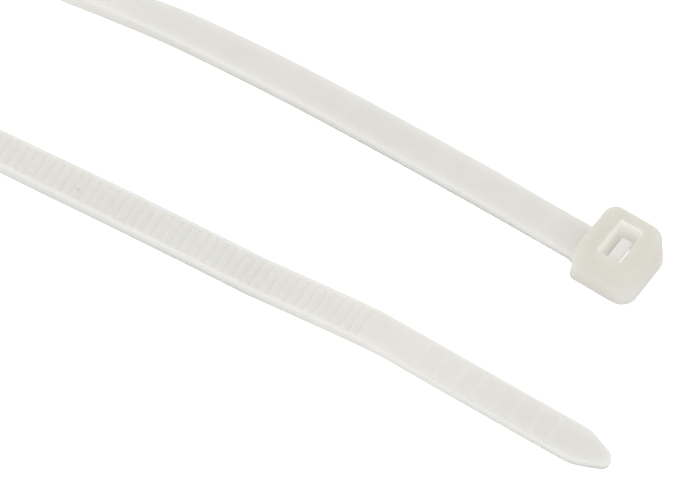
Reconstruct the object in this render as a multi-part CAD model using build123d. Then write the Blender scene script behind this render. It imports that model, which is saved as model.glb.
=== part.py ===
from build123d import *
import math
import os

# Strap section
STRAP_WIDTH = 3.72
STRAP_THICKNESS = 1.2
NECK_THICKNESS = 1.05
TAIL_THICKNESS = 0.95
EDGE_BREAK = 0.08
RAIL_WIDTH = 0.36
RAIL_SLOPE = 0.08

# Ratchet teeth between the rails
TOOTH_PITCH = 0.96
TOOTH_DEPTH = 0.16
TOOTH_CREST_DROP = 0.03
TOOTH_RISE_SHARE = 0.2
NECK_RUN = 11.0

# Run of the strap over the table, from the head to the tip
HEAD_ARM_RUN = 27.87
HEAD_ARM_BEND = 2.3
SWAY_RUN = 14.0
SWAY_BEND = 3.8
LEAD_IN_RUN = 12.0
LEAD_IN_BEND = 12.3
TURN_LEAD = 2.9
TURN_RADIUS = 9.0
TURN_ANGLE = 168.1
TAIL_ARM_RUN = 43.3
TAIL_ARM_BEND = -3.9
TWIST_CENTRE = 64.57
TWIST_SPREAD = 6.75

# Tail
TAIL_RUN = 23.6
TAIL_BEND = 0.7
TAIL_RISE = 1.5
TAIL_RISE_RUN = 14.0
TIP_TAPER = 2.95
TIP_SHOULDER = 0.8
TIP_WIDTH = 1.2
TIP_ROUND = 0.5
RIB_COUNT = 8
RIB_PITCH = 2.0
RIB_LENGTH = 1.15
RIB_HEIGHT = 0.1
RIB_MARGIN = 0.3
RIB_START = 3.3

# Head
HEAD_LENGTH = 6.6
HEAD_WIDTH = 7.2
HEAD_HEIGHT = 4.75
HEAD_DRAFT = 2.0
HEAD_BACK_CORNER = 0.6
HEAD_BACK_CORNER_TOP = 1.35
HEAD_FRONT_CORNER = 1.65
HEAD_TOP_ROUND = 1.0
HEAD_BASE_ROUND = 0.5
NECK_FLARE = 1.1

# Slot and pawl
SLOT_BACK = 1.15
SLOT_FRONT = 1.3
SLOT_CLEARANCE = 0.15
SLOT_LEAD = 0.25
PAWL_WIDTH = 2.4
PAWL_BASE = 0.3
PAWL_TOP = 3.35
PAWL_HINGE = 0.45
PAWL_FOOT_GAP = 0.15
PAWL_FOOT_THICKNESS = 0.42
PAWL_TOP_GAP = 0.75
PAWL_TOP_THICKNESS = 0.94
PAWL_TOOTH = 0.22
PAWL_TOOTH_COUNT = 3

HEAD_BACK = -HEAD_LENGTH / 2
TURN_RUN = math.radians(TURN_ANGLE) * TURN_RADIUS
PLAN_RUNS = [
    (HEAD_ARM_RUN, HEAD_ARM_BEND),
    (SWAY_RUN, SWAY_BEND),
    (LEAD_IN_RUN, LEAD_IN_BEND),
    (TURN_LEAD, 0.0),
    (TURN_RUN, TURN_ANGLE),
    (TAIL_ARM_RUN, TAIL_ARM_BEND),
    (TAIL_RUN, TAIL_BEND),
]
STRAP_RUN = sum(length for length, bend in PLAN_RUNS)
TAIL_START = STRAP_RUN - TAIL_RUN


def arc_step(x, y, heading, length, bend):
    turn = math.radians(bend)
    chord = length
    if abs(turn) > 1e-9:
        chord = 2 * length / turn * math.sin(turn / 2)
    x += chord * math.cos(heading + turn / 2)
    y += chord * math.sin(heading + turn / 2)
    return x, y, heading + turn


def plan_pose(station):
    x, y, heading = HEAD_BACK, 0.0, math.pi
    if station < 0:
        return x - station, y, heading
    left = station
    for length, bend in PLAN_RUNS:
        part = min(left, length)
        x, y, heading = arc_step(x, y, heading, part, bend * part / length)
        left -= part
        if left <= 0:
            break
    return x, y, heading


def smooth(share):
    share = min(max(share, 0.0), 1.0)
    return share * share * (3 - 2 * share)


def blend(low, high, share):
    return low + (high - low) * smooth(share)


def roll_at(station):
    if station < NECK_RUN:
        return 0.0
    if station > TAIL_START - 4:
        return math.pi
    return math.pi / (1 + math.exp((TWIST_CENTRE - station) / TWIST_SPREAD))


def thickness_at(station):
    if station > TAIL_START - 2:
        return blend(STRAP_THICKNESS, TAIL_THICKNESS, (station - TAIL_START + 2) / 2)
    return blend(NECK_THICKNESS, STRAP_THICKNESS, (station - NECK_RUN + 5) / 5)


def width_at(station):
    if station < NECK_FLARE:
        reach = min(max(NECK_FLARE - station, 0.0), NECK_FLARE)
        flare = NECK_FLARE - math.sqrt(NECK_FLARE ** 2 - reach ** 2)
        return STRAP_WIDTH + 2 * flare
    to_tip = max(STRAP_RUN - station, 0.0)
    slope = (STRAP_WIDTH - TIP_WIDTH) / TIP_TAPER
    width = TIP_WIDTH + slope * min(to_tip, TIP_TAPER)
    shoulder = max(TIP_SHOULDER - abs(to_tip - TIP_TAPER), 0.0)
    width -= slope * shoulder ** 2 / (4 * TIP_SHOULDER)
    reach = max(TIP_ROUND - to_tip, 0.0)
    return width - 1.8 * (TIP_ROUND - math.sqrt(TIP_ROUND ** 2 - reach ** 2))


def rise_at(station):
    before = TAIL_START - station
    if before > TAIL_RISE_RUN:
        return 0.0
    if before >= 0:
        rise = TAIL_RISE * (1 - before / TAIL_RISE_RUN)
    else:
        rise = TAIL_RISE * (1 + before / TAIL_RUN)
    sharp = TAIL_RISE * (1 / TAIL_RISE_RUN + 1 / TAIL_RUN)
    return rise - sharp * max(0.0, 1.2 - abs(before)) ** 2 / 4.8


def centre_at(station):
    x, y, heading = plan_pose(station)
    roll = roll_at(station)
    width = STRAP_WIDTH / 2 * abs(math.sin(roll))
    thickness = thickness_at(station) / 2 * abs(math.cos(roll))
    return Vector(x, y, width + thickness + rise_at(station))


def section_frame(station):
    along = (centre_at(station + 0.05) - centre_at(station - 0.05)).normalized()
    if station < 1:
        along = Vector(-1, 0, 0)
    heading = plan_pose(station)[2]
    outward = Vector(math.sin(heading), -math.cos(heading), 0)
    roll = roll_at(station)
    across = outward * math.cos(roll) - Vector(0, 0, 1) * math.sin(roll)
    across = (across - along * across.dot(along)).normalized()
    return across, along.cross(across)


# floor_drop is how far the strip between the rails lies below their tops
def section(station, floor_drop, margin):
    width = width_at(station)
    thickness = thickness_at(station)
    side = width / 2
    half = thickness / 2
    cut = min(EDGE_BREAK, side / 4)
    rail = min(margin, side / 2)
    floor = side - rail - min(RAIL_SLOPE, side / 8)
    outline = [
        (cut - side, -half),
        (side - cut, -half),
        (side, cut - half),
        (side, half - cut),
        (side - cut, half),
        (side - rail, half),
        (floor, half - floor_drop),
        (-floor, half - floor_drop),
        (rail - side, half),
        (cut - side, half),
        (-side, half - cut),
        (-side, cut - half),
    ]
    centre = centre_at(station)
    across, toothed = section_frame(station)
    points = [centre + across * w + toothed * h for w, h in outline]
    return Wire.make_polygon(points, close=True)


def neck_stations():
    stations = [(-0.6, 0.0, RAIL_WIDTH)]
    for share in (0.0, 0.12, 0.3, 0.6, 1.0):
        stations.append((NECK_FLARE * share, 0.0, RAIL_WIDTH))
    steps = 8
    for i in range(1, steps):
        stations.append((NECK_FLARE + (NECK_RUN - NECK_FLARE) * i / steps, 0.0, RAIL_WIDTH))
    return stations


def tooth_stations():
    stations = []
    count = int((TAIL_START - 2 - NECK_RUN) / TOOTH_PITCH)
    for i in range(count):
        start = NECK_RUN + i * TOOTH_PITCH
        stations.append((start, TOOTH_CREST_DROP + TOOTH_DEPTH, RAIL_WIDTH))
        crest = start + TOOTH_PITCH * TOOTH_RISE_SHARE
        stations.append((crest, TOOTH_CREST_DROP, RAIL_WIDTH))
    end = NECK_RUN + count * TOOTH_PITCH
    stations.append((end, TOOTH_CREST_DROP + TOOTH_DEPTH, RAIL_WIDTH))
    stations.append((end + 0.3, 0.0, RAIL_WIDTH))
    return stations


def tail_stations():
    stations = [(TAIL_START + 0.4, 0.0, RAIL_WIDTH)]
    stations.append((TAIL_START + 1.2, 0.0, RIB_MARGIN))
    for i in range(RIB_COUNT):
        start = TAIL_START + RIB_START + i * RIB_PITCH
        for place, height in ((0, 0), (0.2, 1), (0.8, 1), (1, 0)):
            station = start + RIB_LENGTH * place
            stations.append((station, -RIB_HEIGHT * height, RIB_MARGIN))
    taper = TIP_TAPER + TIP_SHOULDER
    for i in range(8):
        station = STRAP_RUN - taper + (taper - TIP_ROUND) * i / 8
        stations.append((station, 0.0, RIB_MARGIN))
    for share in (0.0, 0.35, 0.65, 0.88, 1.0):
        stations.append((STRAP_RUN - TIP_ROUND * (1 - share), 0.0, RIB_MARGIN))
    return stations


def strap():
    stations = neck_stations() + tooth_stations() + tail_stations()
    wires = [section(*station) for station in stations]
    return Solid.make_loft(wires, ruled=True)


def head_outline(inset, back_corner):
    outline = Rectangle(HEAD_LENGTH - inset, HEAD_WIDTH - inset)
    back = outline.vertices().group_by(Axis.X)[0]
    outline = fillet(back, back_corner)
    front = outline.vertices().group_by(Axis.X)[-1]
    return fillet(front, HEAD_FRONT_CORNER)


def head_block():
    draft = 2 * HEAD_HEIGHT * math.tan(math.radians(HEAD_DRAFT))
    base = head_outline(0.0, HEAD_BACK_CORNER)
    lid = Pos(0, 0, HEAD_HEIGHT) * head_outline(draft, HEAD_BACK_CORNER_TOP)
    block = loft([base.face(), lid.face()], ruled=True)
    top = block.faces().sort_by(Axis.Z)[-1]
    block = fillet(top.edges(), HEAD_TOP_ROUND)
    base = block.faces().sort_by(Axis.Z)[0]
    return fillet(base.edges(), HEAD_BASE_ROUND)


def slot_cavity():
    width = STRAP_WIDTH + 2 * SLOT_CLEARANCE
    length = SLOT_BACK + SLOT_FRONT
    middle = (SLOT_FRONT - SLOT_BACK) / 2
    shaft = Pos(middle, 0, HEAD_HEIGHT / 2) * Box(length, width, HEAD_HEIGHT + 2)
    mouth = Pos(middle, 0, 0) * Rectangle(length + 2 * SLOT_LEAD, width + 2 * SLOT_LEAD)
    throat = Pos(middle, 0, SLOT_LEAD) * Rectangle(length, width)
    return shaft + loft([mouth.face(), throat.face()])


def pawl_front(height):
    foot = PAWL_FOOT_GAP + PAWL_FOOT_THICKNESS
    tip = PAWL_TOP_GAP + PAWL_TOP_THICKNESS
    share = (height - PAWL_BASE) / (PAWL_TOP - PAWL_BASE)
    return foot + (tip - foot) * share - SLOT_BACK


def pawl():
    root = -SLOT_BACK - 0.2
    low = PAWL_BASE + PAWL_HINGE
    step = (PAWL_TOP - low) / PAWL_TOOTH_COUNT
    outline = [(root, PAWL_BASE), (pawl_front(PAWL_BASE), PAWL_BASE), (pawl_front(low), low)]
    for i in range(1, PAWL_TOOTH_COUNT + 1):
        height = low + i * step
        outline.append((pawl_front(height) + PAWL_TOOTH, height - 0.05))
        outline.append((pawl_front(height), height))
    outline.append((PAWL_TOP_GAP - SLOT_BACK, PAWL_TOP))
    outline.append((PAWL_FOOT_GAP - SLOT_BACK, low + PAWL_HINGE))
    outline.append((root, low))
    face = make_face(Polyline(*outline, close=True))
    return extrude(Plane.XZ * face, PAWL_WIDTH / 2, both=True)


def cable_tie():
    head = head_block() - slot_cavity()
    return head + pawl() + strap()


os.makedirs("parts", exist_ok=True)
part = cable_tie()
export_step(part, "parts/cable_tie.step")
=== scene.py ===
import bpy
import bmesh
import math
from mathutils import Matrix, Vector


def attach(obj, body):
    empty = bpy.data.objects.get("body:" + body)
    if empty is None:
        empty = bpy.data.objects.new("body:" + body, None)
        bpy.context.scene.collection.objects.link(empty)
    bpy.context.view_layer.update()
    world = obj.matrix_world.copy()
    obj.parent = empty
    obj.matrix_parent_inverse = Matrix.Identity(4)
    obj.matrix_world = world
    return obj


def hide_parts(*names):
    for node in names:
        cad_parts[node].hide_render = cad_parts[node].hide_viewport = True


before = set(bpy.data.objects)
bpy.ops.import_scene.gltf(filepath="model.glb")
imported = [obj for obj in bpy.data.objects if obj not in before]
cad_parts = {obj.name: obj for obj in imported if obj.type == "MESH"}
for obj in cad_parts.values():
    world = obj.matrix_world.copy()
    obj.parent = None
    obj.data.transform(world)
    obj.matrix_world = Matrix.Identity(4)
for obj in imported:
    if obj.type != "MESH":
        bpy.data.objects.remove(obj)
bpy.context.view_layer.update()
mm = 0.001
print("frame loaded")

# camera and view
camera = {
    "aim": (-21.758, -12.132, 0.0),  # point on the table under the middle of the view, mm
    "azimuth": 34.723,
    "elevation": 57.887,
    "distance": 819.7,
    "acrossView": 63.294,
}


def makeCamera(c):
    a, e = math.radians(c["azimuth"]), math.radians(c["elevation"])
    back = Vector((math.sin(a) * math.cos(e), -math.cos(a) * math.cos(e), math.sin(e)))
    data = bpy.data.cameras.new("camera")
    data.sensor_width = 36
    data.lens = 36 * c["distance"] / c["acrossView"]
    data.clip_start, data.clip_end = 0.01, 20
    cam = bpy.data.objects.new("camera", data)
    bpy.context.scene.collection.objects.link(cam)
    cam.location = (Vector(c["aim"]) + back * c["distance"]) * mm
    cam.rotation_mode = "QUATERNION"
    cam.rotation_quaternion = (-back).to_track_quat("-Z", "Y")
    bpy.context.scene.camera = cam


makeCamera(camera)
bpy.context.scene.view_settings.view_transform = "Standard"


# a socket that takes part in Python sums
class Sock:
    def __init__(self, make, out):
        self.make, self.out = make, out

    def math(self, op, *others):
        return self.make.node("ShaderNodeMath", {"operation": op}, self, *others)

    def reflected(self, op, first):
        return self.make.node("ShaderNodeMath", {"operation": op}, first, self)

    def __add__(self, b):
        return self.math("ADD", b)

    def __radd__(self, a):
        return self.reflected("ADD", a)

    def __sub__(self, b):
        return self.math("SUBTRACT", b)

    def __rsub__(self, a):
        return self.reflected("SUBTRACT", a)

    def __mul__(self, b):
        return self.math("MULTIPLY", b)

    def __rmul__(self, a):
        return self.reflected("MULTIPLY", a)

    def __truediv__(self, b):
        return self.math("DIVIDE", b)

    def __rtruediv__(self, a):
        return self.reflected("DIVIDE", a)

    def __gt__(self, b):
        return self.math("GREATER_THAN", b)

    def __lt__(self, b):
        return self.math("LESS_THAN", b)

    def fract(self):
        return self.math("FRACT")

    def size(self):
        return self.math("ABSOLUTE")

    def least(self, b):
        return self.math("MINIMUM", b)

    def most(self, b):
        return self.math("MAXIMUM", b)


class Maker:
    def __init__(self, tree):
        self.tree = tree

    def node(self, kind, settings=None, *values, outName=None, **named):
        n = self.tree.nodes.new(kind)
        for key, value in (settings or {}).items():
            setattr(n, key, value)
        live = [s for s in n.inputs if s.enabled]
        pairs = list(zip(live, values)) + [(n.inputs[k.replace("_", " ")], v) for k, v in named.items()]
        for socket, value in pairs:
            if isinstance(value, Sock):
                self.tree.links.new(value.out, socket)
            elif value is not None:
                socket.default_value = value
        outs = [s for s in n.outputs if s.enabled]
        if not outs:
            return n
        return Sock(self, n.outputs[outName] if outName else outs[0])

    def vec(self, op, *values):
        return self.node("ShaderNodeVectorMath", {"operation": op}, *values)

    def scale(self, vector, factor):
        return self.node("ShaderNodeVectorMath", {"operation": "SCALE"}, vector, Scale=factor)

    def mixColour(self, share, a, b):
        n = self.tree.nodes.new("ShaderNodeMix")
        n.data_type = "RGBA"
        for socket, value in ((n.inputs["Factor"], share), (n.inputs[6], a), (n.inputs[7], b)):
            if isinstance(value, Sock):
                self.tree.links.new(value.out, socket)
            else:
                socket.default_value = value
        return Sock(self, n.outputs[2])


# natural nylon
nylon = {
    "strapColour": (0.81, 0.80, 0.76, 1),
    "strapCloud": (0.79, 0.78, 0.74, 1),
    # the head's nylon is a darker, tanner copy of the strap's: painted shade for the deeper look of the thick
    # head
    "headShadedColour": (0.68, 0.66, 0.59, 1),
    "headShadedCloud": (0.66, 0.64, 0.57, 1),
    "headBaseLitColour": (0.75, 0.735, 0.68, 1),  # paler towards the base: painted light for table light coming up through the nylon
    "slotColour": (0.88, 0.87, 0.83, 1),
    "slotGlow": 0.12,
    "speckColour": (0.5, 0.48, 0.43, 1),
    "speckPlace": (-44.94, -21.78, 1.19),  # a small dark fleck, mm
    "speckSize": 0.14,
    "speckStrength": 0.8,
    "cloudScale": 420.0,  # this and the next three scales are per metre
    "flowScale": 90.0,
    "grainScale": 9000.0,
    "rippleScale": 700.0,
    "cloudRange": (0.38, 0.62),
    "bumpStrength": 0.18,
    "bumpHeight": 0.00002,
    "lowFrom": 3.4,  # heights on the head between which the painted base light comes in, mm
    "lowTo": 1.2,
    "lowTilt": 0.35,
    "slotMiddle": 0.075,  # the space that counts as slot, mm
    "slotHalfLong": 1.25,
    "slotHalfWide": 2.04,
    "slotRim": 4.6,
    "slotFade": (-0.05, 0.12),
    "roughness": 0.5,
    "indexOfRefraction": 1.53,
    "glow": 1.0,
    "glowTint": (1.0, 0.98, 0.93),
    "strapGlowDepth": 1.2,
    "headGlowDepth": 3.5,
}


def noiseAt(m, place, scale, detail, rough):
    return m.node("ShaderNodeTexNoise", {}, Vector=place, Scale=scale, Detail=detail, Roughness=rough)


def nylonMaterial(name, colour, cloudColour, glowDepth, isStrap):
    mat = bpy.data.materials.new(name)
    mat.use_nodes = True
    mat.node_tree.nodes.clear()
    m = Maker(mat.node_tree)
    place = m.node("ShaderNodeTexCoord", outName="Object")
    cloud = noiseAt(m, place, nylon["cloudScale"], 3.0, 0.5)
    flow = noiseAt(m, place, nylon["flowScale"], 2.0, 0.5)
    tone = m.node("ShaderNodeMapRange", {}, cloud * 0.6 + flow * 0.4, *nylon["cloudRange"], 0.0, 1.0)
    base = m.mixColour(tone, colour, cloudColour)
    if isStrap:
        away = m.node("ShaderNodeVectorMath", {"operation": "DISTANCE"}, place,
                      tuple(v * mm for v in nylon["speckPlace"]), outName="Value")
        edge = nylon["speckSize"] * mm
        spot = m.node("ShaderNodeMapRange", {}, away, edge * 0.4, edge, nylon["speckStrength"], 0.0)
        base = m.mixColour(spot, base, nylon["speckColour"])
    else:
        parts = m.node("ShaderNodeSeparateXYZ", {}, place)
        x, y, z = (Sock(m, parts.out.node.outputs[i]) for i in range(3))
        # painted light: the head turns paler towards its base, reaching higher on the -y side, for table
        # light coming up through the nylon
        high, floor = nylon["lowFrom"] * mm, nylon["lowTo"] * mm
        low = m.node("ShaderNodeMapRange", {}, z + y * nylon["lowTilt"], high, floor, 0.0, 1.0)
        base = m.mixColour(low, base, nylon["headBaseLitColour"])
        # the slot is made paler and lit a little, in place of the light that its thin walls let through
        outX = (x - nylon["slotMiddle"] * mm).size() - nylon["slotHalfLong"] * mm
        outY = y.size() - nylon["slotHalfWide"] * mm
        outside = outX.most(outY).most(z - nylon["slotRim"] * mm)
        inSlot = m.node("ShaderNodeMapRange", {}, outside, *(d * mm for d in nylon["slotFade"]), 1.0, 0.0)
        base = m.mixColour(inSlot, base, nylon["slotColour"])
        glow = m.mixColour(inSlot, (0, 0, 0, 1), nylon["slotColour"])
    grain = noiseAt(m, place, nylon["grainScale"], 2.0, 0.6)
    ripple = noiseAt(m, place, nylon["rippleScale"], 2.0, 0.5)
    bump = m.node("ShaderNodeBump", {}, Strength=nylon["bumpStrength"], Distance=nylon["bumpHeight"],
                  Height=grain * 0.35 + ripple)
    rough = nylon["roughness"] + (flow - 0.5) * 0.2 + (grain - 0.5) * 0.12
    shader = m.node("ShaderNodeBsdfPrincipled", {"subsurface_method": "RANDOM_WALK"}, Base_Color=base,
                    Roughness=rough, Normal=bump)
    bsdf = shader.out.node
    if not isStrap:
        mat.node_tree.links.new(glow.out, bsdf.inputs["Emission Color"])
        bsdf.inputs["Emission Strength"].default_value = nylon["slotGlow"]
    bsdf.inputs["IOR"].default_value = nylon["indexOfRefraction"]
    bsdf.inputs["Subsurface Weight"].default_value = nylon["glow"]
    bsdf.inputs["Subsurface Radius"].default_value = nylon["glowTint"]
    bsdf.inputs["Subsurface Scale"].default_value = glowDepth * mm
    m.node("ShaderNodeOutputMaterial", {}, Surface=shader)
    return mat


strapNylon = nylonMaterial("strapNylon", nylon["strapColour"], nylon["strapCloud"], nylon["strapGlowDepth"],
                           isStrap=True)
# the head takes the darker copy of the nylon colour, painted shade for its thickness
headNylon = nylonMaterial("headNylon", nylon["headShadedColour"], nylon["headShadedCloud"], nylon["headGlowDepth"],
                          isStrap=False)
print("materials made")

# the way the strap lies, in mm and degrees; a run is its length, then its bend to the left
lay = {
    "root": -3.3,
    "runs": [
        (27.87, 2.3),
        (14.0, 3.8),
        (12.0, 12.3),
        (2.9, 0.0),
        (9.0 * math.radians(168.1), 168.1),
        (43.3, -3.9),
        (23.6, 0.7),
    ],
    "twistCentre": 64.57,
    "twistSpread": 6.75,
    "flatUntil": 11.0,
    "flatBeforeTail": 4.0,
    "bendRise": 1.5,
    "riseRun": 14.0,
    "bendRound": 1.2,
    "edgeOnSoftness": 0.12,  # rounds the lift where the strap stands on its edge
}
# the strap, mm
strap = {
    "width": 3.72,
    "thickness": 1.2,
    "neckThickness": 1.05,
    "tailThickness": 0.95,
    "neckEnd": 11.0,
    "neckBlend": 5.0,
    "tailBlend": 2.0,
    "flare": 1.1,
    "railWidth": 0.36,
    "railSlope": 0.08,
    "channelOpensAfter": 0.3,
    "channelOpenBefore": 2.0,
    "edgeRound": 0.1,
    "railRoundShare": 0.8,
    "toothPitch": 0.96,
    "toothDepth": 0.08,  # the solid's teeth are 0.16 deep
    "crestDrop": 0.03,
    "riseShare": 0.2,
    "ribStart": 3.3,
    "ribPitch": 2.0,
    "ribLength": 1.15,
    "ribHeight": 0.07,  # the solid's ribs are 0.1 high
    "ribRamp": 0.45,
    "ribCount": 8,
    "ribMargin": 0.3,
    "tipTaper": 2.95,
    "tipShoulder": 0.8,
    "tipWidth": 1.2,
    "tipRound": 0.5,
    "tipRoundReach": 1.8,
    "evenStepsStopBefore": 0.62,  # past this the stations follow the round of the tip
    "stepsPerTooth": 12,
}
strapLength = sum(length for length, bend in lay["runs"])
tailStart = strapLength - lay["runs"][-1][0]
toothCount = int((tailStart - strap["tailBlend"] - strap["neckEnd"]) / strap["toothPitch"])
teethEnd = strap["neckEnd"] + toothCount * strap["toothPitch"]


def planAt(station):
    x, y, heading = lay["root"], 0.0, math.pi
    if station < 0:
        return x - station, y, heading
    left = station
    for length, bend in lay["runs"]:
        part = min(left, length)
        turn = math.radians(bend) * part / length
        chord = part if abs(turn) < 1e-9 else 2 * part / turn * math.sin(turn / 2)
        x += chord * math.cos(heading + turn / 2)
        y += chord * math.sin(heading + turn / 2)
        heading += turn
        left -= part
        if left <= 0:
            break
    return x, y, heading


def smooth(share):
    share = min(max(share, 0.0), 1.0)
    return share * share * (3 - 2 * share)


def rollAt(station):
    if station < lay["flatUntil"]:
        return 0.0
    if station > tailStart - lay["flatBeforeTail"]:
        return math.pi
    return math.pi / (1 + math.exp((lay["twistCentre"] - station) / lay["twistSpread"]))


def thicknessAt(station):
    s = strap
    if station > tailStart - s["tailBlend"]:
        share = smooth((station - tailStart + s["tailBlend"]) / s["tailBlend"])
        return s["thickness"] + (s["tailThickness"] - s["thickness"]) * share
    share = smooth((station - s["neckEnd"] + s["neckBlend"]) / s["neckBlend"])
    return s["neckThickness"] + (s["thickness"] - s["neckThickness"]) * share


def widthAt(station):
    s = strap
    if station < s["flare"]:
        reach = min(max(s["flare"] - station, 0.0), s["flare"])
        return s["width"] + 2 * (s["flare"] - math.sqrt(s["flare"] ** 2 - reach ** 2))
    toTip = max(strapLength - station, 0.0)
    slope = (s["width"] - s["tipWidth"]) / s["tipTaper"]
    shoulder = max(s["tipShoulder"] - abs(toTip - s["tipTaper"]), 0.0)
    width = s["tipWidth"] + slope * (min(toTip, s["tipTaper"]) - shoulder ** 2 / (4 * s["tipShoulder"]))
    reach = max(s["tipRound"] - toTip, 0.0)
    return width - s["tipRoundReach"] * (s["tipRound"] - math.sqrt(s["tipRound"] ** 2 - reach ** 2))


def riseAt(station):
    before = tailStart - station
    if before > lay["riseRun"]:
        return 0.0
    slope = 1 / lay["riseRun"] if before >= 0 else 1 / lay["runs"][-1][0]
    rise = lay["bendRise"] * (1 - abs(before) * slope)
    sharp = lay["bendRise"] * (1 / lay["riseRun"] + 1 / lay["runs"][-1][0])
    return rise - sharp * max(0.0, lay["bendRound"] - abs(before)) ** 2 / (4 * lay["bendRound"])


def centreAt(station):
    x, y, heading = planAt(station)
    roll = rollAt(station)
    upright = math.sqrt(math.cos(roll) ** 2 + lay["edgeOnSoftness"] ** 2)
    z = strap["width"] / 2 * abs(math.sin(roll)) + thicknessAt(station) / 2 * min(upright, 1.0)
    return Vector((x, y, z + riseAt(station)))


def strapStations():
    step = strap["toothPitch"] / strap["stepsPerTooth"]
    first = strap["neckEnd"] - math.floor((strap["neckEnd"] + 0.6) / step) * step
    count = int((strapLength - strap["evenStepsStopBefore"] - first) / step)
    even = [first + i * step for i in range(count + 1)]
    roundTip = [strapLength - strap["tipRound"] * (1 - math.sin(math.radians(a))) for a in range(6, 91, 6)]
    return even + roundTip


def lineMesh(name, points, closed, floats, vectors):
    mesh = bpy.data.meshes.new(name)
    edges = [(i, i + 1) for i in range(len(points) - 1)]
    if closed:
        edges.append((len(points) - 1, 0))
    mesh.from_pydata(points, edges, [])
    for key, values in floats.items():
        mesh.attributes.new(key, "FLOAT", "POINT").data.foreach_set("value", values)
    for key, values in vectors.items():
        flat = [c for v in values for c in v]
        mesh.attributes.new(key, "FLOAT_VECTOR", "POINT").data.foreach_set("vector", flat)
    obj = bpy.data.objects.new(name, mesh)
    bpy.context.scene.collection.objects.link(obj)
    return obj


def strapLine():
    stations = strapStations()
    centres, across, toothed = [], [], []
    for s in stations:
        along = (centreAt(s + 0.05) - centreAt(s - 0.05)).normalized() if s > 1 else Vector((-1, 0, 0))
        x, y, heading = planAt(s)
        outward = Vector((math.sin(heading), -math.cos(heading), 0))
        roll = rollAt(s)
        side = outward * math.cos(roll) - Vector((0, 0, 1)) * math.sin(roll)
        side = (side - along * side.dot(along)).normalized()
        centres.append(centreAt(s) * mm)
        across.append(side)
        toothed.append(along.cross(side))
    floats = {
        "station": stations,
        "wide": [widthAt(s) for s in stations],
        "thick": [thicknessAt(s) for s in stations],
    }
    vectors = {"centre": centres, "across": across, "toothed": toothed}
    return lineMesh("strapLine", centres, False, floats, vectors)


# half of the section, from the middle of the smooth side round to the middle of the floor:
# inset from the edge, face (-1 smooth, 1 toothed), distance in from that face, share of rail, share of floor
def halfSection():
    smoothRound, railRound = strap["edgeRound"], strap["edgeRound"] * strap["railRoundShare"]
    rows = [("mid", -1, 0.0, 0, 0)]
    quarter = (0, 22.5, 45, 67.5, 90)
    for side, r, angles in ((-1, smoothRound, quarter), (1, railRound, quarter[::-1])):
        for angle in angles:
            a = math.radians(angle)
            rows.append((r * (1 - math.sin(a)), side, r * (1 - math.cos(a)), 0, 0))
    rows.append((0.0, 1, 0.0, 0.86, 0))
    rows.append((0.0, 1, 0.02, 1.0, 0))
    rows.append((0.0, 1, 0.0, 1.0, 1))
    rows.append(("mid", 1, 0.0, 1.0, 1))
    return rows


def sectionLine():
    half = halfSection()
    right = [(1, row) for row in half]
    left = [(-1, row) for row in reversed(half[1:-1])]
    ring = right + left
    floats = {"hand": [], "inset": [], "face": [], "deep": [], "rail": [], "floor": []}
    points = []
    for hand, (inset, face, deep, rail, floorShare) in ring:
        middle = inset == "mid"
        inset = 0.0 if middle else inset
        floats["hand"].append(0.0 if middle else float(hand))
        floats["inset"].append(inset)
        floats["face"].append(float(face))
        floats["deep"].append(deep)
        floats["rail"].append(0.0 if middle else rail)
        floats["floor"].append(float(floorShare))
        fromEdge = inset + strap["railWidth"] * rail + strap["railSlope"] * floorShare
        across = hand * (strap["width"] / 2 - fromEdge)
        up = face * (strap["thickness"] / 2 - deep) - strap["thickness"] / 4 * floorShare
        points.append((0.0 if middle else across * mm, up * mm, 0.0))
    return lineMesh("strapSection", points, True, floats, {})


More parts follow.
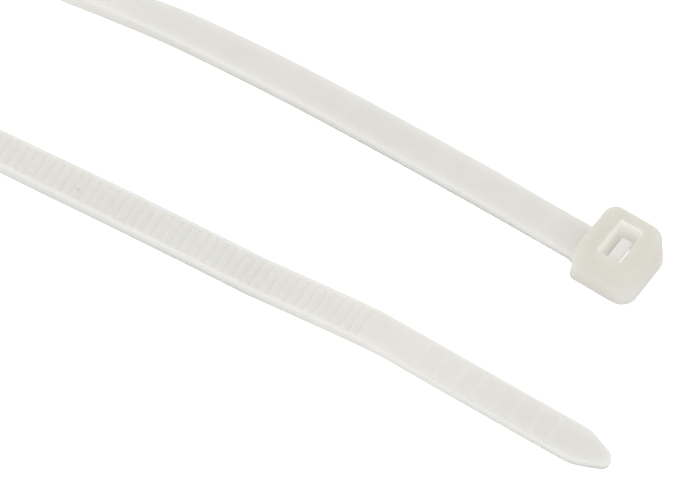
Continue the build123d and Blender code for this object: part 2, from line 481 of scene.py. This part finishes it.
def strapTree():
    tree = bpy.data.node_groups.new("toothedStrap", "GeometryNodeTree")
    face = tree.interface
    face.new_socket("Geometry", in_out="INPUT", socket_type="NodeSocketGeometry")
    face.new_socket("Section", in_out="INPUT", socket_type="NodeSocketObject")
    for name in ("Rail Width", "Rail Slope", "Teeth From", "Teeth To", "Tooth Pitch", "Tooth Depth",
                 "Crest Drop", "Rise Share", "Ribs From", "Rib Pitch", "Rib Length", "Rib Height",
                 "Rib Count", "Rib Margin"):
        face.new_socket(name, in_out="INPUT", socket_type="NodeSocketFloat")
    face.new_socket("Nylon", in_out="INPUT", socket_type="NodeSocketMaterial")
    face.new_socket("Geometry", in_out="OUTPUT", socket_type="NodeSocketGeometry")
    m = Maker(tree)
    given = tree.nodes.new("NodeGroupInput")

    def size(name):
        return Sock(m, given.outputs[name])

    def named(key, kind="FLOAT"):
        return m.node("GeometryNodeInputNamedAttribute", {"data_type": kind}, key, outName="Attribute")

    line = m.node("GeometryNodeMeshToCurve", {}, size("Geometry"))
    shape = m.node("GeometryNodeObjectInfo", {}, size("Section"), outName="Geometry")
    ring = m.node("GeometryNodeMeshToCurve", {}, shape)
    sweep = m.node("GeometryNodeCurveToMesh", {}, line, ring)
    sweep.out.node.inputs["Fill Caps"].default_value = True
    station, wide, thick = named("station"), named("wide"), named("thick")
    hand, inset, side = named("hand"), named("inset"), named("face")
    deep, rail, floorShare = named("deep"), named("rail"), named("floor")

    # the channel between the rails opens out to the margin of the ribs on the tail
    opensAt = size("Teeth To") + strap["channelOpensAfter"]
    openAt = size("Ribs From") - strap["channelOpenBefore"]
    margins = (size("Rail Width"), size("Rib Margin"))
    channel = m.node("ShaderNodeMapRange", {}, station, opensAt, openAt, *margins)
    narrow = (wide / strap["width"]).least(1.0)
    across = hand * (wide * 0.5 - (inset + channel * rail + size("Rail Slope") * floorShare) * narrow)

    # ratchet teeth: a steep face towards the head, a long slope towards the tip
    phase = ((station - size("Teeth From")) / size("Tooth Pitch")).fract()
    tooth = (phase / size("Rise Share")).least((1.0 - phase) / (1.0 - size("Rise Share")))
    inTeeth = (station > size("Teeth From") - 0.01) * (station < size("Teeth To") + 0.01)
    drop = inTeeth * (size("Crest Drop") + size("Tooth Depth") * (1.0 - tooth))

    # grip ribs on the tail
    ribPlace = (station - size("Ribs From")) / size("Rib Pitch")
    along = ribPlace.fract() * size("Rib Pitch")
    ribFall = (size("Rib Length") - along) / strap["ribRamp"]
    rib = (along / strap["ribRamp"]).least(ribFall).least(1.0).most(0.0)
    rib = rib * rib * (3.0 - rib * 2.0)
    inRibs = (ribPlace > 0.0) * (ribPlace < size("Rib Count"))
    drop = drop - inRibs * rib * size("Rib Height")

    up = side * (thick * 0.5 - deep) - floorShare * drop
    sideways = m.scale(named("across", "FLOAT_VECTOR"), across * mm)
    place = m.vec("ADD", named("centre", "FLOAT_VECTOR"), sideways)
    place = m.vec("ADD", place, m.scale(named("toothed", "FLOAT_VECTOR"), up * mm))
    moved = m.node("GeometryNodeSetPosition", {}, sweep, Position=place)
    whole = m.node("GeometryNodeRealizeInstances", {}, moved)
    done = m.node("GeometryNodeSetMaterial", {}, whole, Material=size("Nylon"))
    result = tree.nodes.new("NodeGroupOutput")
    tree.links.new(done.out, result.inputs[0])
    return tree


def plainMesh(obj, name):
    bpy.context.view_layer.update()
    live = obj.evaluated_get(bpy.context.evaluated_depsgraph_get())
    mesh = bpy.data.meshes.new_from_object(live)
    mesh.name = name
    obj.modifiers.clear()
    return mesh


def closedOutwards(mesh):
    bm = bmesh.new()
    bm.from_mesh(mesh)
    bmesh.ops.remove_doubles(bm, verts=bm.verts, dist=1e-8)
    bmesh.ops.recalc_face_normals(bm, faces=bm.faces)
    if bm.calc_volume(signed=True) < 0:
        bmesh.ops.reverse_faces(bm, faces=bm.faces)
    openEdges = sum(1 for e in bm.edges if len(e.link_faces) != 2)
    bm.to_mesh(mesh)
    volume = round(bm.calc_volume() / mm ** 3, 1)
    print(mesh.name, "faces", len(bm.faces), "open edges", openEdges, "volume mm3", volume)
    bm.free()


def makePiece(mesh, name, material):
    mesh.materials.clear()
    mesh.materials.append(material)
    obj = bpy.data.objects.new(name, mesh)
    bpy.context.scene.collection.objects.link(obj)
    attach(obj, "root")
    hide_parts("cable_tie")
    return obj


def makeStrap():
    line, section = strapLine(), sectionLine()
    tree = strapTree()
    mod = line.modifiers.new("strap", "NODES")
    mod.node_group = tree
    sizes = {
        "Section": section,
        "Nylon": strapNylon,
        "Rail Width": strap["railWidth"],
        "Rail Slope": strap["railSlope"],
        "Teeth From": strap["neckEnd"],
        "Teeth To": teethEnd,
        "Tooth Pitch": strap["toothPitch"],
        "Tooth Depth": strap["toothDepth"],
        "Crest Drop": strap["crestDrop"],
        "Rise Share": strap["riseShare"],
        "Ribs From": tailStart + strap["ribStart"],
        "Rib Pitch": strap["ribPitch"],
        "Rib Length": strap["ribLength"],
        "Rib Height": strap["ribHeight"],
        "Rib Count": float(strap["ribCount"]),
        "Rib Margin": strap["ribMargin"],
    }
    for item in tree.interface.items_tree:
        if item.in_out == "INPUT" and item.name in sizes:
            mod[item.identifier] = sizes[item.name]
    mesh = plainMesh(line, "strap")
    guides = ("station", "wide", "thick", "centre", "across", "toothed",
              "hand", "inset", "face", "deep", "rail", "floor")
    for key in [a.name for a in mesh.attributes if a.name in guides]:
        mesh.attributes.remove(mesh.attributes[key])
    bpy.data.objects.remove(line)
    bpy.data.objects.remove(section)
    closedOutwards(mesh)
    mesh.shade_smooth()
    mesh.set_sharp_from_angle(angle=math.radians(32))
    return makePiece(mesh, "toothed_strap", strapNylon)


# head with its slot and pawl, mm
head = {
    "long": 6.6,
    "wide": 7.2,
    "high": 4.75,
    "draft": 2.0,
    "backCorner": 0.6,
    "backCornerTop": 1.35,
    "frontCorner": 1.65,
    "topRound": 1.0,
    "baseRound": 0.5,
    "slotBack": -1.15,
    "slotFront": 1.3,
    "slotWide": 4.02,
    "lead": 0.25,
    "topLead": 0.04,
    "pawlWide": 2.4,
    "pawlBase": 0.3,
    "pawlTop": 3.35,
    "hinge": 0.45,
    "footGap": 0.15,
    "footThick": 0.42,
    "topGap": 0.75,
    "topThick": 0.94,
    "pawlTooth": 0.28,  # the skin rounds it back to 0.22
    "pawlToothLand": 0.05,
    "grid": 0.06,
}


def cornerRing(bm, long, wide, corners, x, z, steps=8):
    ring = []
    for k, (sx, sy) in enumerate(((1, 1), (-1, 1), (-1, -1), (1, -1))):
        radius = corners[0] if sx < 0 else corners[1]
        for i in range(steps + 1):
            a = math.radians(90 * k + 90 * i / steps)
            px = sx * (long / 2 - radius) + radius * math.cos(a)
            py = sy * (wide / 2 - radius) + radius * math.sin(a)
            ring.append(bm.verts.new((x + px, py, z)))
    return ring


def stack(levels, x=0.0):
    bm = bmesh.new()
    rings = [cornerRing(bm, long, wide, corners, x, z) for long, wide, corners, z in levels]
    for low, high in zip(rings, rings[1:]):
        n = len(low)
        for i in range(n):
            bm.faces.new((low[i], low[(i + 1) % n], high[(i + 1) % n], high[i]))
    bm.faces.new(list(reversed(rings[0])))
    bm.faces.new(rings[-1])
    return bm


def asObject(bm, name):
    bmesh.ops.recalc_face_normals(bm, faces=bm.faces)
    mesh = bpy.data.meshes.new(name)
    bm.to_mesh(mesh)
    bm.free()
    obj = bpy.data.objects.new(name, mesh)
    bpy.context.scene.collection.objects.link(obj)
    return obj


def headBlock():
    h = head
    levels = []
    for i in range(7):
        a = math.radians(90 * i / 6)
        inset, z = h["baseRound"] * (1 - math.sin(a)), h["baseRound"] * (1 - math.cos(a))
        levels.append((inset, z))
    for i in range(9):
        a = math.radians(90 * i / 8)
        inset, z = h["topRound"] * (1 - math.cos(a)), h["high"] - h["topRound"] * (1 - math.sin(a))
        levels.append((inset, z))
    rows = []
    for inset, z in levels:
        lean = inset + z * math.tan(math.radians(h["draft"]))
        back = h["backCorner"] + (h["backCornerTop"] - h["backCorner"]) * z / h["high"]
        corners = [max(radius - inset, 0.1) for radius in (back, h["frontCorner"])]
        rows.append((h["long"] - 2 * lean, h["wide"] - 2 * lean, corners, z))
    return asObject(stack(rows), "headBlock")


def slotCutter():
    h = head
    long, wide = h["slotFront"] - h["slotBack"], h["slotWide"]
    rows = []
    past, widen = 0.5, 0.1  # how far the cutter runs out of the block, and how much wider it gets there
    grown = [(h["lead"] + widen, -past), (h["lead"], 0.0), (0.0, h["lead"])]
    grown += [(0.0, h["high"] - h["topLead"]), (h["topLead"], h["high"])]
    grown.append((h["topLead"] + widen, h["high"] + past))
    for grow, z in grown:
        rows.append((long + 2 * grow, wide + 2 * grow, (0.12, 0.12), z))
    return asObject(stack(rows, (h["slotFront"] + h["slotBack"]) / 2), "slotCutter")


def pawlFront(z):
    h = head
    foot, tip = h["footGap"] + h["footThick"], h["topGap"] + h["topThick"]
    return h["slotBack"] + foot + (tip - foot) * (z - h["pawlBase"]) / (h["pawlTop"] - h["pawlBase"])


def pawlBlock():
    h = head
    root, low = h["slotBack"] - 0.3, h["pawlBase"] + h["hinge"]
    outline = [(root, h["pawlBase"]), (pawlFront(h["pawlBase"]), h["pawlBase"]), (pawlFront(low), low)]
    for i in (1, 2, 3):
        z = low + (h["pawlTop"] - low) * i / 3
        outline += [(pawlFront(z) + h["pawlTooth"], z - h["pawlToothLand"]), (pawlFront(z), z)]
    outline.append((h["slotBack"] + h["topGap"], h["pawlTop"]))
    outline.append((h["slotBack"] + h["footGap"], low + h["hinge"]))
    outline.append((root, low))
    bm = bmesh.new()
    near = [bm.verts.new((x, -h["pawlWide"] / 2, z)) for x, z in outline]
    far = [bm.verts.new((x, h["pawlWide"] / 2, z)) for x, z in outline]
    n = len(outline)
    for i in range(n):
        bm.faces.new((near[i], near[(i + 1) % n], far[(i + 1) % n], far[i]))
    bm.faces.new(near)
    bm.faces.new(list(reversed(far)))
    return asObject(bm, "pawl")


def makeHead():
    block, cutter, tongue = headBlock(), slotCutter(), pawlBlock()
    for tool, job in ((cutter, "DIFFERENCE"), (tongue, "UNION")):
        cut = block.modifiers.new(tool.name, "BOOLEAN")
        cut.operation, cut.object, cut.solver = job, tool, "EXACT"
    skin = block.modifiers.new("skin", "REMESH")
    skin.mode, skin.voxel_size, skin.adaptivity = "VOXEL", head["grid"], 0.0
    soft = block.modifiers.new("soft", "SMOOTH")
    soft.factor, soft.iterations = 0.5, 5
    mesh = plainMesh(block, "head")
    for tool in (block, cutter, tongue):
        bpy.data.objects.remove(tool)
    for v in mesh.vertices:
        v.co = v.co * mm
    closedOutwards(mesh)
    mesh.shade_smooth()
    return makePiece(mesh, "ratchet_head", headNylon)


makeStrap()
print("strap made")
makeHead()
print("head made")


# table, sky and lamp, in m and W
studio = {
    "table": (0.93, 0.93, 0.93, 1),
    "tableRadius": 3.0,
    "whiteLift": 0.8,  # makes the table white to the eye without lighting the tie
    "glossLift": 0.2,  # the same for what the tie reflects
    "skyTop": 0.9,
    "skyEdge": 0.98,
    "skyTopAt": 0.9,
    "window": {"place": (-0.05, 0.0, 0.6), "aim": (-0.02, -0.012, 0.0), "size": 0.6, "watts": 0.08},
}


def rayKinds(m):
    ray = m.tree.nodes.new("ShaderNodeLightPath")
    return [Sock(m, ray.outputs[name]) for name in ("Is Camera Ray", "Is Glossy Ray", "Is Transmission Ray")]


def makeTable():
    mat = bpy.data.materials.new("tableWhite")
    mat.use_nodes = True
    mat.node_tree.nodes.clear()
    m = Maker(mat.node_tree)
    paper = m.node("ShaderNodeBsdfDiffuse", {}, Color=studio["table"])
    seen, glossy, through = rayKinds(m)
    level = (seen * studio["whiteLift"]).most(glossy.most(through) * studio["glossLift"])
    lift = m.node("ShaderNodeEmission", {}, Color=(1, 1, 1, 1), Strength=level)
    both = m.node("ShaderNodeAddShader", {}, paper, lift)
    m.node("ShaderNodeOutputMaterial", {}, Surface=both)
    bm = bmesh.new()
    bmesh.ops.create_circle(bm, cap_ends=True, radius=studio["tableRadius"], segments=64)
    mesh = bpy.data.meshes.new("table")
    bm.to_mesh(mesh)
    bm.free()
    mesh.materials.append(mat)
    table = bpy.data.objects.new("table", mesh)
    bpy.context.scene.collection.objects.link(table)


def makeSky():
    world = bpy.data.worlds.new("sky")
    bpy.context.scene.world = world
    world.use_nodes = True
    world.node_tree.nodes.clear()
    m = Maker(world.node_tree)
    toward = m.node("ShaderNodeTexCoord", outName="Generated")
    up = m.node("ShaderNodeSeparateXYZ", {}, toward, outName="Z")
    level = m.node("ShaderNodeMapRange", {}, up, 0.0, studio["skyTopAt"], studio["skyEdge"], studio["skyTop"])
    seen, glossy, through = rayKinds(m)
    strength = level.most(seen).most(glossy).most(through)
    back = m.node("ShaderNodeBackground", {}, Color=(1, 1, 1, 1), Strength=strength)
    m.node("ShaderNodeOutputWorld", {}, Surface=back)


def makeLight(name, spec):
    data = bpy.data.lights.new(name, "AREA")
    data.shape, data.size, data.energy = "DISK", spec["size"], spec["watts"]
    lamp = bpy.data.objects.new(name, data)
    bpy.context.scene.collection.objects.link(lamp)
    lamp.location = spec["place"]
    aim = Vector(spec["aim"]) - lamp.location
    lamp.rotation_mode = "QUATERNION"
    lamp.rotation_quaternion = aim.to_track_quat("-Z", "Y")


makeTable()
makeSky()
makeLight("window", studio["window"])
print("studio made")
